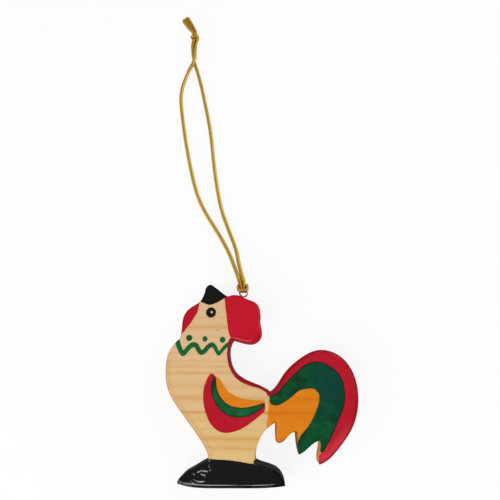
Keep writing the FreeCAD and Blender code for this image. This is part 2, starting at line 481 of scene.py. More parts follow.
def smooth_line(points: Array, closed: bool, steps: int = LINE_STEPS) -> Array:
    """Line through points with smooth bends: a cubic between each two, whose ends lean along the
    line between their neighbours.  A point given twice is a sharp corner.

    Args:
        points: places in order.
        closed: whether the last joins the first.
        steps: places on each stretch.

    Returns:
        The smooth line's places.
    """
    if closed:
        padded = np.vstack([points[-1:], points, points[:2]])
    else:
        padded = np.vstack([points[:1], points, points[-1:]])
    p0, p1, p2, p3 = padded[:-3], padded[1:-2], padded[2:-1], padded[3:]
    t = (np.arange(steps) / steps)[None, :, None]
    start, end, leave, arrive = (p[:, None, :] for p in (p1, p2, (p2 - p0) / 2, (p3 - p1) / 2))
    line = (start * (2 * t ** 3 - 3 * t ** 2 + 1) + leave * (t ** 3 - 2 * t ** 2 + t)
            + end * (3 * t ** 2 - 2 * t ** 3) + arrive * (t ** 3 - t ** 2))
    line = line.reshape(-1, points.shape[1])
    return line if closed else np.vstack([line, points[-1:]])


@dataclass(frozen=True)
class Patch:
    """A painted area, by its outline in the photograph."""

    paint: Paint
    outline: tuple[Place, ...]

    def inside(self, points: Array, photo: Photo) -> Array:
        """How far points lie inside the patch, in millimetres, negative outside it."""
        return depth_in_loop(points, photo.trace(self.outline, closed=True))


@dataclass(frozen=True)
class Stroke:
    """A brush stroke, by its middle line in the photograph and its width at each point."""

    paint: Paint
    line: tuple[Place, ...]
    widths: tuple[float, ...]

    def inside(self, points: Array, photo: Photo) -> Array:
        """How far points lie inside the stroke: half its width, less the distance to its line.

        Args:
            points: X and Y, one row each.
            photo: the way from pixels to the board.

        Returns:
            Millimetres inside.
        """
        gap, along = distance_to_line(points, photo.trace(self.line, closed=False))
        width = np.interp(along / LINE_STEPS, np.arange(len(self.widths)), self.widths)
        return width / 2 * photo.millimetres(1.0) - gap


@dataclass(frozen=True)
class Ridge:
    """A ripple in the lacquer, by its crest line in the photograph."""

    line: tuple[Place, ...]
    strength: float = 1.0

    def hump(self, points: Array, photo: Photo, width: float) -> Array:
        """Height of the ripple at points, up to its strength: a bell curve of its distance.

        Args:
            points: X and Y, one row each.
            photo: the way from pixels to the board.
            width: distance at which the ripple has fallen to a third.

        Returns:
            The height.
        """
        line = photo.trace(self.line, closed=False)
        gap, along = distance_to_line(points, line)
        ends = np.sin(math.pi * np.clip(along / (len(line) - 1), 0.02, 0.98)) ** 0.5
        return self.strength * ends * np.exp(-(gap / width) ** 2)


@dataclass(frozen=True)
class Dot:
    """A round dab of paint, by its middle and radius in the photograph."""

    paint: Paint
    middle: Place
    radius: float

    def inside(self, points: Array, photo: Photo) -> Array:
        """How far points lie inside the dab, in millimetres, negative outside it."""
        centre = photo.to_board((self.middle,))[0]
        return self.radius * photo.millimetres(1.0) - np.hypot(*(points - centre).T)


BEAK = Patch(Paint.BLACK, (
    (198.5, 300.6), (200.5, 301.6), (205.9, 304.1), (210.2, 304.8), (215.5, 303.4), (220.9, 300.4),
    (224.9, 297.2), (226.5, 294), (226.5, 275), (196, 275), (197, 296),
))
EYE = Dot(Paint.BLACK, (211, 312.4), 5.2)
EYE_GLINT = Dot(Paint.WHITE, (211.7, 312.1), 0.80)
WATTLE = Patch(Paint.RED, (
    (199.6, 302), (199, 306), (197.4, 312.2), (193.4, 318.9), (189.4, 324.9), (186.1, 328.9),
    (182.3, 333.2), (172, 338), (172, 300), (190, 294), (198.5, 299.5),
))
COMB = Patch(Paint.RED, (
    (224.4, 297.6), (225.2, 304.8), (226, 312.8), (226.9, 320.9), (227.8, 328.9), (228.9, 333.6),
    (230.4, 337.4), (231.6, 340.4), (240, 350), (270, 350), (275, 300), (250, 285),
    (226, 290), (225.2, 294.5),
))
COLLAR_DOTS = (
    Dot(Paint.GREEN, (189.2, 337.9), 3.15),
    Dot(Paint.GREEN, (204.8, 338.9), 2.70),
    Dot(Paint.GREEN, (222.5, 339.7), 2.95),
)
COLLAR = Stroke(Paint.GREEN, (
    (176.6, 339.6), (178, 343.6), (180, 349.2), (182.8, 353.6), (185.4, 351.4), (189, 347.4),
    (192.4, 344.9), (195.9, 345.2), (198.4, 349.6), (200.8, 352.4), (204.2, 351.2), (208.2, 346.8),
    (211.4, 344.6), (214.4, 346.4), (217, 351.2), (218.8, 353.8), (221.7, 350.5), (225.4, 346.5),
    (229.2, 343.6),
), (5.4, 5.2, 4.9, 4.8, 4.8, 5, 5.3, 5.1, 4.9, 4.8, 4.7, 4.6, 4.6, 4.3, 3.7, 3.1, 3.4, 4, 4.3))
WING_RED = Patch(Paint.RED, (
    (211.6, 373.4), (208.2, 376.6), (205.2, 383.2), (203.3, 391), (203, 398.7), (204.3, 408.2),
    (206.9, 416.8), (210.8, 424.5), (216, 429.9), (222, 432.7), (228.9, 432.9), (237.5, 430.8),
    (246.1, 426.3), (254.7, 419.9), (260.7, 414.9), (264.6, 411), (265.2, 405.5), (263.6, 403.6),
    (250, 408), (230, 406), (219, 395), (215.5, 383), (215.2, 376.4),
))
WING_GREEN = Patch(Paint.GREEN, (
    (214, 376.8), (212.1, 381.5), (211.2, 387.5), (211.9, 393.9), (215.1, 403), (220.3, 409.9),
    (227.2, 414.9), (234, 417.1), (242.7, 417.2), (250.4, 415.1), (257.3, 411.4), (262.5, 407.3),
    (264.4, 404.4), (262.5, 403.6), (257.3, 405.2), (250.4, 406.6), (242.7, 408.2), (235.8, 407.7),
    (228.9, 405.4), (222.8, 400.4), (218.5, 394.2), (216.2, 386.7), (216, 379.8),
))
WING_ORANGE = Patch(Paint.ORANGE, (
    (213.8, 375.4), (217.2, 377.2), (220.7, 379.8), (223.2, 384.9), (227.4, 390.3), (233.2, 394.8),
    (240.1, 398), (247.8, 399.6), (255.6, 400.4), (263.3, 400.7), (265.4, 402.2), (264.4, 404.6),
    (257, 407), (246, 410), (234, 410), (224, 405), (217, 396.5), (214.6, 386),
))
TAIL_ORANGE = Patch(Paint.ORANGE, (
    (269, 400), (268.4, 406.5), (267.8, 414.2), (267.3, 421), (266.8, 428), (270, 450),
    (300, 458), (305, 433), (320, 410), (322, 392), (312, 384), (296, 388),
    (284, 400), (276, 402),
))
TAIL_RED = Patch(Paint.RED, (
    (266.5, 393.5), (271, 397.2), (276, 396), (283, 388), (292, 378.5), (299, 372.5),
    (308, 366), (322, 365), (334, 373), (341, 384), (342.5, 398), (338, 415),
    (331, 432), (323.5, 447), (321.6, 452.4), (316, 457), (312, 470), (330, 475),
    (372, 430), (372, 360), (320, 335), (285, 355), (270, 380),
))
TAIL_GREEN = Patch(Paint.GREEN, (
    (269.4, 398.4), (270.2, 396.2), (273, 394.7), (278.6, 391.4), (283.5, 385.4), (290.1, 378.4),
    (297.6, 371.2), (305, 365.2), (313.3, 362), (321.6, 362.5), (329.9, 366.2), (336.5, 371.2),
    (341.5, 378), (344, 385.9), (345, 395), (344.4, 404.1), (342.3, 411.5), (338.6, 419.8),
    (334.9, 428.9), (331.5, 437.2), (327.6, 444.5), (324.6, 449.8), (322, 452.4), (317, 453),
    (300, 468), (292, 462), (296.5, 446), (299.4, 437.6), (301.7, 433.9), (306.7, 428.1),
    (311.7, 420.6), (315.8, 411.5), (318.7, 403.3), (319.3, 395.8), (316.4, 390.9), (311.7, 388.6),
    (303.4, 389.4), (297.6, 391.7), (293.5, 395.6), (287.7, 400), (282.7, 403.5), (276.9, 405.5),
    (271.9, 404.7), (269.7, 401.6),
))
FOOT = Patch(Paint.BLACK, (
    (200, 456.5), (208.4, 458.8), (218.5, 459.7), (232, 460.6), (242.1, 462.1), (253.4, 463.8),
    (257, 461), (295, 478), (295, 500), (168, 500), (168, 470),
))
SIDE_RED = Patch(Paint.SIDE_RED, (
    (224.6, 296.8), (226.5, 315), (229.3, 334), (229.2, 343), (227.2, 352), (229.2, 364),
    (236.6, 375.4), (252, 382), (266, 390), (271.5, 394), (277, 389), (300, 366),
    (318, 356), (340, 368), (352, 395), (348, 418), (335, 445), (320.5, 461),
    (318.6, 470), (345, 475), (385, 420), (370, 345), (320, 325), (280, 350),
    (266, 375), (262, 352), (278, 330), (272, 285), (240, 280), (226.5, 284),
))
SADDLE_RED = Patch(Paint.SADDLE_RED, (
    (231, 338.5), (228, 344.5), (227, 355), (228.4, 365), (233.2, 374.8), (240.7, 381.8),
    (250.7, 386), (259.5, 388.6), (265.7, 392.3), (269.6, 395.4), (273.5, 393.5), (278, 389),
    (284, 379.5), (282, 365), (262, 352), (250, 342),
))
SPECK = Dot(Paint.SPECK, (217.6, 330), 0.9)
PAINTING = (
    BEAK, EYE, EYE_GLINT, WATTLE, COMB, *COLLAR_DOTS, COLLAR, WING_RED, WING_GREEN, WING_ORANGE,
    TAIL_ORANGE, TAIL_RED, TAIL_GREEN, FOOT, SIDE_RED, SADDLE_RED, SPECK,
)
THICK_PAINTS = (Paint.BLACK, Paint.WHITE, Paint.RED, Paint.GREEN, Paint.ORANGE)
EDGE_GAP = "edge_gap"

RIDGES = (
    Ridge(((212.4, 460.9), (210.4, 463.6), (209.9, 466.2), (210.8, 468.8), (208.4, 470.8))),
    Ridge(((196.6, 472.4), (198.6, 470.9), (201.4, 470), (205.6, 470.3), (208.4, 471.2))),
    Ridge(((193.6, 474.6), (194.2, 473.2), (194.9, 472.6))),
    Ridge(((200.4, 473.4), (202.4, 473.5), (204.2, 474.2), (205.8, 475.2))),
    Ridge(((192.8, 478.9), (195.4, 479.6), (197.4, 480.5), (200.6, 480.9), (205.4, 480.3))),
    Ridge(((190.4, 480.6), (192, 481.4), (194, 483)), 0.7),
    Ridge(((186, 480.5), (188.5, 477), (191.5, 474.2)), 0.5),
)


@dataclass(frozen=True)
class GrainLine:
    """A late-wood line of the pine, straight across the board, on a row of the photograph; its
    width is in millimetres.
    """

    pixel_row: float
    width: float
    strength: float


GRAIN_LINES = (
    GrainLine(316.8, 1.2, 0.35), GrainLine(327.0, 2.0, 0.65), GrainLine(337.0, 1.2, 0.30),
    GrainLine(346.5, 1.0, 0.25), GrainLine(353.0, 1.0, 0.35), GrainLine(361.0, 1.0, 0.40),
    GrainLine(367.0, 1.0, 0.35), GrainLine(373.2, 1.5, 0.75), GrainLine(386.3, 3.0, 0.50),
    GrainLine(398.5, 2.6, 0.75), GrainLine(412.3, 1.0, 1.15), GrainLine(413.8, 1.8, 0.35),
    GrainLine(420.5, 2.2, 0.35), GrainLine(430.0, 1.4, 0.25), GrainLine(439.3, 2.3, 0.85),
    GrainLine(448.7, 1.6, 0.75),
)


@dataclass(frozen=True)
class LacquerFinish:
    """Clear lacquer and the surfaces under it; the relief is in millimetres."""

    wood_roughness: float = 0.46
    paint_roughness: float = 0.32
    roughness: float = 0.05
    index: float = 1.5
    relief: float = 0.06


@dataclass(frozen=True)
class EdgeShade:
    """An edge's stretch of dark brown painted shade: from left to right, below top, in millimetres.
    """

    left: float
    right: float
    top: float


# Stretches of the sides' edge painted dark brown as shade.
EDGE_SHADES = (EdgeShade(3.4, 8.8, -12.0), EdgeShade(10.8, 15.6, -15.0), EdgeShade(-6.6, -2.8, -17.0))


@dataclass(frozen=True)
class WoodFinish:
    """Bare pine under clear lacquer, the marks on it, and the shade painted on its edges."""

    head: str = "E1BB8E"
    breast: str = "E3BE8D"
    shank: str = "E3BF80"
    speck: str = "7A4C30"
    late_wood: str = "D2984A"
    warm_edge: str = "CC9152"
    # Painted shade: a dark line along the breast's brink.
    brink_shade: str = "A06C3A"
    # Colours of the sawn sides: darker than the face, partly as painted shade, and lighter towards
    # the tail's end.
    sawn_side: str = "B98A5E"
    tail_side: str = "DF9E6E"
    # Dark brown painted shade along stretches of the edge.
    edge_shade: str = "5A3028"


@dataclass(frozen=True)
class EnamelFinish:
    """The five enamels: thick, thin, worn or over one another, with some painted sheen and shade."""

    red: str = "BA1025"
    comb_red: str = "C90C28"
    deep_red: str = "98101F"
    # Red for the sides, darker than the front's red, partly as painted shade.
    side_red: str = "8C1A28"
    green: str = "00572B"
    deep_green: str = "00301E"
    teal: str = "003E35"
    leaf_green: str = "17763A"
    orange: str = "E18000"
    deep_orange: str = "D46E00"
    black: str = "0F0D0F"
    # The black on the sides: partly worn thin, partly a painted sheen.
    worn_black_and_sheen: str = "302824"
    white: str = "E8E8E2"
    overlap: str = "0F1F17"
    # A painted sheen on the red low on the tail.
    tail_sheen_red: str = "F24C5A"


class BoardBench(Bench):
    """The board's bench: where each place of the board lies, and the looks of what lies there.

    Every place named here is a product of smooth steps, whose ends are millimetres.
    """

    def __init__(self, board: "Board") -> None:
        """Start the material of a board.

        Args:
            board: with its sizes and finishes.
        """
        super().__init__("painted_pine")
        self.board, self.paints = board, board.enamel
        self.x, self.y, self.z = self.axes()
        self.edge = self.attribute(EDGE_GAP)
        self.shake = self.noise(0.9, 2) * 0.08 + self.noise(3.0, 1) * 0.10
        self.front = (self.z + self.shake * 4).rise(board.thickness - 1.5, board.thickness - 0.8)
        self.blotch = self.noise(5, 2)
        self.streak = self.noise((7, 0.5, 0.8), 2, 0.6)
        self.late = self._late_wood()

    def covered(self, paint: Paint, soft: float = 0.10) -> Signal:
        """Share of a paint that covers the wood, its edge shaken as a brush's edge is."""
        return (self.attribute(paint.value) + self.shake).rise(-soft, soft)

    def edge_shade(self) -> Signal:
        """Where dark brown painted shade lines the edge."""
        marks = [self.x.rise(mark.left, mark.left + 0.8) * self.x.rise(mark.right, mark.right - 0.8)
                 * self.y.rise(mark.top, mark.top - 1.5) for mark in EDGE_SHADES]
        return marks[0] + marks[1] + marks[2]

    def _late_wood(self) -> Signal:
        """Share of late wood in the pine.

        Each line is a hump in Y about its own height, which a slow noise along X lets wander.
        Wide bands and fine fibre are added to the lines.

        Returns:
            The share.
        """
        level = self.y + self.noise((28, 9, 30), 1) * 0.45
        fade = self.noise((16, 3, 20), 2) * 0.35 + 0.8
        lines: Number = 0.0
        for line in GRAIN_LINES:
            height = float(self.board.photo.to_board(((230.0, line.pixel_row),))[0, 1])
            hump = (1 - abs(level - height) / line.width).most(0.0)
            lines = hump * hump * line.strength + lines
        bands = self.noise((60, 3.2, 12), 2).rise(0.1, 1.0)
        fibre = self.noise((9, 0.26, 0.6), 3, 0.6)
        return (lines * fade + bands * 0.28 + fibre * 0.11).least(1.0)

    def bare_wood(self) -> Socket:
        """Pine, warmer at the breast's edge and darker on the sawn sides, partly as painted shade.

        Returns:
            The colour.
        """
        x, y, edge, wood = self.x, self.y, self.edge, self.board.wood
        slant = x + y * 0.3
        breast_edge = edge.rise(2.6, 0.0) * slant.rise(-13, -20) * y.rise(12, 4)
        # Painted shade: a thin dark line along the breast's brink.
        breast_brink_shade = edge.rise(0.55, 0.10) * slant.rise(-13, -17) * y.rise(14, 9)
        shoulder = self.board.thickness - self.board.ease
        # The sawn sides are darker, as painted shade and grime, most on the lower right of the body.
        side_shade_and_grime = (x.rise(-8, -2) * y.rise(4, -4) * 0.8 + 0.2) * self.z.rise(shoulder, shoulder - 1.2)
        sawn = self.blend(wood.sawn_side, wood.tail_side, x.rise(17, 19))
        return self.layer(wood.shank, (
            (wood.breast, y.rise(-26, 2)), (wood.head, y.rise(2, 20)), (wood.late_wood, self.late),
            (wood.warm_edge, breast_edge * 0.55), (wood.brink_shade, breast_brink_shade * 0.6), (sawn, side_shade_and_grime),
        ))

    def orange(self) -> Socket:
        """Orange enamel, thin enough for the late wood to show through it."""
        shade = (self.blotch * 0.4 + self.streak * 0.25 + self.late * 0.9).most(0.0)
        return self.blend(self.paints.orange, self.paints.deep_orange, shade)

    def red(self) -> Socket:
        """Red enamel: deeper at the edges, brighter on the comb and with a painted sheen low on the
        tail.

        Returns:
            The colour.
        """
        x, y, edge, paints = self.x, self.y, self.edge, self.paints
        deep = (self.blotch * 0.45 + self.streak * 0.25).rise(-0.2, 1.1) + edge.rise(2.2, 0.0) * 0.45
        comb = y.rise(8, 20) * x.rise(-14, -10)
        # Painted sheen: a paler red along the tail's lower edge.
        tail_sheen = edge.rise(4.0, 0.8) * x.rise(15, 19) * y.rise(-12, -20)
        return self.layer(paints.red, ((paints.deep_red, deep), (paints.comb_red, comb * 0.8),
                                       (paints.tail_sheen_red, tail_sheen * 0.40)))

    def green(self) -> Socket:
        """Green enamel: bluish on the tail, leafy on the breast, and deep at the collar's end.

        Returns:
            The colour.
        """
        x, y, paints = self.x, self.y, self.paints
        shade = (self.blotch + self.noise(1.6, 2) * 0.45).rise(-0.8, 0.8)
        tail = x.rise(15, 24) * y.rise(-14, -4)
        breast = x.rise(3.4, 2.4) * (0.48 + self.blotch * 0.40)
        collar_end = (x - y * 0.6).rise(-13, -16) * y.rise(8, 6)
        return self.layer(paints.deep_green, (
            (paints.green, shade), (paints.teal, tail * 0.85), (paints.leaf_green, breast),
            (paints.deep_green, collar_end * 0.8),
        ))

    def overlap(self) -> Signal:
        """Where the green's rim lies thin over red."""
        depth = self.attribute(Paint.GREEN.value) + self.shake
        return (depth.rise(-0.32, -0.05) * depth.rise(0.62, 0.16)
                * self.attribute(Paint.RED.value).rise(-0.6, -0.1))

    def side_red(self) -> tuple[Socket, Signal]:
        """Dull red that ran over the edge and down the sides, partly darkened as painted shade.

        Returns:
            The colour, and how much of it shows.
        """
        # Darker than the front's red, partly as painted shade; on the comb's sides back to the
        # front's red as painted light.
        dull = self.z.rise(2, 10) * 0.5 + self.blotch * 0.3
        colour = self.layer(self.paints.side_red, ((self.paints.deep_red, dull),
                                                   (self.paints.red, self.y.rise(10, 14))))
        wrap = (self.edge + self.shake * 2).rise(0.75, 0.45)
        painted = self.attribute(Paint.SIDE_RED.value).rise(-0.05, 0.15)
        return colour, painted * wrap * self.z.rise(0.15, 0.7)

    def coat(self) -> Signal:
        """How much the lacquer shines: next to nothing on the sides, and less along the front's
        edge, over a narrow strip on the foot, a wide one on the tail, and under the painted edge
        shade.

        Returns:
            The lacquer's weight.
        """
        edge, thickness = self.edge, self.board.thickness
        foot = self.y.rise(-22.5, -25.0) * self.x.rise(14, 12)
        tail = self.x.rise(6, 9) * self.y.rise(9, 7)
        flat = (edge.rise(0.04, 0.40) * foot + edge.rise(0.20, 0.95) * (1 - foot) * (1 - tail)
                + edge.rise(0.60, 1.35) * tail) * (1 - self.edge_shade() * edge.rise(1.1, 0.5))
        return self.z.rise(thickness - 2.0, thickness - 1.0) * flat * 0.96 + 0.04


UPRIGHT_SLOPE = 0.02
SAME_HEIGHT_MM = 0.01


def chained(pairs: Array) -> list[int]:
    """Put the edges of one closed loop in order.

    Args:
        pairs: the two ends of each edge; one that starts and ends at the same place is left out.

    Returns:
        The ends in order round the loop, each once.
    """
    links: dict[int, list[int]] = {}
    for a, b in pairs.tolist():
        if a != b:
            links.setdefault(a, []).append(b)
            links.setdefault(b, []).append(a)
    start = next(iter(links))
    chain = [start, links[start][0]]
    while chain[-1] != start:
        chain.append(next(n for n in links[chain[-1]] if n != chain[-2]))
    return chain[:-1]


@dataclass
class Board:
    """The sawn board, with its painting and lacquer, over the CAD node of the same outline.

    Sizes are in millimetres, corner_turn is in radians and beak_tip in the photograph's pixels.
    A place of a row stays if its gap to the outline is at least row_share of the row's own, and
    the honeycomb starts honeycomb_share of its spacing in from the last row.
    """

    node: str = "rooster_board"
    edge_spacing: float = 0.22
    front_spacing: float = 0.28
    back_spacing: float = 0.80
    rim_rows: tuple[float, ...] = (0.03, 0.10, 0.22, 0.40, 0.64, 0.95)
    row_share: float = 0.93
    honeycomb_share: float = 0.55
    least_ripple: float = 0.2
    wall_rows: int = 14
    paint_slope: float = 0.35
    edge_lift: float = 0.4
    bare_drop: float = 0.05
    bare_reach: float = 1.2
    lacquer_roll: float = 1.35
    lacquer_drop: float = 0.55
    ridge_height: float = 0.08
    ridge_width: float = 0.34
    corner_turn: float = 0.40
    beak_tip: Place = (208.6, 287.8)
    beak_reach: float = 1.7
    beak_fill: float = 0.42
    wood: WoodFinish = WoodFinish()
    enamel: EnamelFinish = EnamelFinish()
    lacquer: LacquerFinish = LacquerFinish()

    def __post_init__(self) -> None:
        """Read the sizes of the sawn board from the frame."""
        _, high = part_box(self.node)
        self.thickness = high.z / MM
        self.photo = Photo(self.thickness)
        self.edge, self.ease = self._sawn_outline()

    def _sawn_outline(self) -> tuple[Array, float]:
        """Outline of the board's side walls.

        The walls reach up to the highest point of any upright triangle.  Their upper edges are
        chained into one loop, and places are spread evenly along it from corner to corner.

        Returns:
            Places on the outline, counter-clockwise, and how far the edges are eased.
        """
        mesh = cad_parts[self.node].data
        microns = np.round(points_of(mesh) * 1000).astype(np.int64)
        keys, member = np.unique(microns, axis=0, return_inverse=True)
        mesh.calc_loop_triangles()
        corners = np.empty(len(mesh.loop_triangles) * 3, np.int64)
        mesh.loop_triangles.foreach_get("vertices", corners)
        corners = member.ravel()[corners].reshape(-1, 3)
        points = keys / 1000.0
        heights = points[corners][:, :, 2]
        normal = np.cross(points[corners[:, 1]] - points[corners[:, 0]],
                          points[corners[:, 2]] - points[corners[:, 0]])
        upright = np.abs(normal[:, 2]) < UPRIGHT_SLOPE * np.linalg.norm(normal, axis=1)
        top = heights[upright].max()
        walls = corners[(heights < top + SAME_HEIGHT_MM).all(axis=1)]
        pairs = np.vstack([walls[:, [a, b]] for a, b in ((0, 1), (1, 2), (2, 0))])
        pairs = pairs[(np.abs(points[pairs][:, :, 2] - top) < SAME_HEIGHT_MM).all(axis=1)]
        loop = points[chained(pairs), :2]
        turned = np.roll(loop, -1, axis=0)
        if (loop[:, 0] * turned[:, 1] - loop[:, 1] * turned[:, 0]).sum() < 0:
            loop = loop[::-1]
        return self._spread(self._blunt(loop)), self.thickness - float(top)

    @staticmethod
    def _outward(loop: Array) -> Array:
        """Unit vectors square to a counter-clockwise loop, out of it, at each of its places."""
        ahead = np.roll(loop, -1, axis=0) - np.roll(loop, 1, axis=0)
        return np.stack([ahead[:, 1], -ahead[:, 0]], 1) / np.hypot(*ahead.T)[:, None]

    def _blunt(self, loop: Array) -> Array:
        """Fill out the beak's tip, which the photograph shows blunter than the sawn outline.

        Places move out square to the line by a bell curve of their distance from the tip.

        Args:
            loop: the outline's places.

        Returns:
            The places, moved.
        """
        tip = self.photo.to_board((self.beak_tip,))[0]
        near = np.exp(-(np.hypot(*(loop - tip).T) / self.beak_reach) ** 4)
        return loop + self._outward(loop) * near[:, None] * self.beak_fill

    def _spread(self, loop: Array) -> Array:
        """Even places along a loop that keep its corners.

        Args:
            loop: the loop's points.

        Returns:
            Places about edge_spacing apart.
        """
        ahead = np.roll(loop, -1, axis=0) - loop
        behind = np.roll(ahead, 1, axis=0)
        turn = np.abs(np.arctan2(behind[:, 0] * ahead[:, 1] - behind[:, 1] * ahead[:, 0],
                                 (behind * ahead).sum(axis=1)))
        corners = np.flatnonzero(turn > self.corner_turn)
        loop = np.roll(loop, -corners[0], axis=0)
        corners = np.append(corners - corners[0], len(loop))
        closed = np.vstack([loop, loop[:1]])
        travelled = distance_along(closed)
        stretches = []
        for first, last in zip(corners, corners[1:]):
            length = travelled[last] - travelled[first]
            steps = max(1, round(length / self.edge_spacing))
            stretches.append(travelled[first] + length * np.arange(steps) / steps)
        return places_along(closed, np.concatenate(stretches))

    @staticmethod
    def _rounding(gap: Array, roll: float, drop: float) -> Array:
        """Drop of a face at a gap in from the outline: a quarter ellipse, roll wide, drop deep."""
        near = np.clip(1 - gap / roll, 0, 1)
        return drop * (1 - np.sqrt(1 - near ** 2))

    def _fill(self, spacing: float, rippled: bool) -> tuple[Array, Array, Array]:
        """Places that cover the board's face, and the triangles between them.

        Rows of places follow the outline over the rounded edge, less those that a bend brings
        nearer to the outline than their row, and a honeycomb fills the rest.

        Args:
            spacing: of the honeycomb.
            rippled: whether the honeycomb is twice as fine round the lacquer's ripples.

        Returns:
            The places, the outline first; their distances in from it; the triangles.
        """
        edge, inward = self.edge, -self._outward(self.edge)
        near = np.vstack([edge + inward * row for row in self.rim_rows])
        near_gap = depth_in_loop(near, edge)
        keep = near_gap > self.row_share * np.repeat(self.rim_rows, len(edge))
        grid = self._honeycomb(edge, spacing)
        if rippled:
            by_ridge = self._near_ridges(grid)
            fine = self._honeycomb(grid[by_ridge], spacing / 2)
            grid = np.vstack([grid[~by_ridge], fine[self._near_ridges(fine)]])
        grid = grid[is_inside(grid, edge)]
        gap = depth_in_loop(grid, edge)
        far = gap > self.rim_rows[-1] + spacing * self.honeycomb_share
        places = np.vstack([edge, near[keep], grid[far]])
        gaps = np.concatenate([np.zeros(len(edge)), near_gap[keep], gap[far]])
        _, _, faces, origins, _, _ = delaunay_2d_cdt(
            [Vector(place) for place in places], [], [list(range(len(edge)))], 1, 1e-6)
        source = np.array([origin[0] for origin in origins])
        return places, gaps, source[np.array([face for face in faces if len(face) == 3])]

    @staticmethod
    def _honeycomb(covered: Array, spacing: float) -> Array:
        """Places in the box round others, each the same distance from its six neighbours.

        Args:
            covered: the others.
            spacing: distance between neighbours.

        Returns:
            The places, one row each.
        """
        low, high = covered.min(axis=0), covered.max(axis=0)
        ys = np.arange(low[1], high[1], spacing * math.sqrt(3) / 2)
        xs = np.arange(low[0], high[0], spacing)
        grid = np.stack(np.meshgrid(xs, ys), -1)
        grid[1::2, :, 0] += spacing / 2
        return grid.reshape(-1, 2)

    def _ripples(self, places: Array, width: float) -> Array:
        """Height of the highest ripple of the lacquer at places, each ripple this wide."""
        return np.max([ridge.hump(places, self.photo, width) for ridge in RIDGES], axis=0)

    def _near_ridges(self, places: Array) -> Array:
        """Which places lie on or beside a ripple of the lacquer."""
        return self._ripples(places, 2 * self.ridge_width) > self.least_ripple

    def _paint_depths(self, places: Array) -> dict[Paint, Array]:
        """How far places lie inside each paint, in millimetres.

        Args:
            places: X and Y, one row each.

        Returns:
            The largest depth over the patches of each paint.
        """
        depths = {paint: np.full(len(places), -np.inf) for paint in Paint}
        for item in PAINTING:
            depths[item.paint] = np.maximum(depths[item.paint], item.inside(places, self.photo))
        return depths

    def _front_height(self, places: Array, gap: Array, painted: Array) -> Array:
        """Height of the lacquered front: rolled over at the edge, rippled on the foot and a
        little lower where the wood is bare.

        Args:
            places: X and Y, one row each.
            gap: their distances in from the outline.
            painted: how far they lie inside the nearest thick paint.

        Returns:
            The heights.
        """
        lift = np.clip(painted / self.paint_slope + self.edge_lift, 0, 1)
        lift = lift * lift * (3 - 2 * lift)
        return (self.thickness - self.ridge_height * (1 - self._ripples(places, self.ridge_width))
                - self._rounding(gap, self.lacquer_roll, self.lacquer_drop)
                - self.bare_drop * (1 - lift) * np.clip(gap / self.bare_reach, 0, 1))

    def build(self) -> Object:
        """Make the board's mesh: front with paint relief, back, and sawn sides.

        Returns:
            The board.
        """
        front, front_gap, front_faces = self._fill(self.front_spacing, rippled=True)
        back, back_gap, back_faces = self._fill(self.back_spacing, rippled=False)
        count = len(self.edge)
        shoulder = self.thickness - self.ridge_height - self.lacquer_drop
        levels = np.linspace(shoulder, self.ease, self.wall_rows + 1)[1:-1]
        places = np.vstack([front, np.tile(self.edge, (len(levels), 1)), back])
        depths = self._paint_depths(places)
        painted = np.max([depths[paint][:len(front)] for paint in THICK_PAINTS], axis=0)
        top = self._front_height(front, front_gap, painted)
        heights = np.concatenate([np.where(front_gap > 0, top, shoulder),
                                  np.repeat(levels, count),
                                  self._rounding(back_gap, self.ease, self.ease)])
        back_first = len(places) - len(back)
        rows = [first + np.arange(count) for first in (0, *range(len(front), back_first + 1, count))]
        quads = [np.stack([upper, lower, np.roll(lower, -1), np.roll(upper, -1)], 1)
                 for upper, lower in zip(rows, rows[1:])]
        faces = [*front_faces.tolist(), *(back_faces + back_first)[:, ::-1].tolist(),
                 *np.vstack(quads).tolist()]
        mesh = smooth_mesh("painted_board", np.column_stack([places, heights]), faces)
        for paint in Paint:
            keep_numbers(mesh, paint.value, depths[paint])
        keep_numbers(mesh, EDGE_GAP,
                     np.concatenate([front_gap, np.zeros(count * len(levels)), back_gap]))
        mesh.materials.append(self.dress())
        board = put("painted_board", mesh)
        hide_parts(self.node)
        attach(board, "rooster")
        LOG.info("board: %d points, %d faces", len(places), len(faces))
        return board

    def dress(self) -> bpy.types.Material:
        """Paint and lacquer the board.

        Each enamel shows where its depth, shaken a little as a brush's edge is, is above zero.

        Returns:
            The finished material.
        """
        bench = BoardBench(self)
        front, z, enamel, lacquer = bench.front, bench.z, self.enamel, self.lacquer
        red_cover, black_cover = bench.covered(Paint.RED), bench.covered(Paint.BLACK)
        side_red, side_cover = bench.side_red()
        # On the sides the black is lighter and browner, partly worn paint and partly a painted
        # sheen.
        black = bench.blend(enamel.black, enamel.worn_black_and_sheen, 1 - front)
        white_cover = bench.attribute(Paint.WHITE.value).rise(-0.35, 0.25)
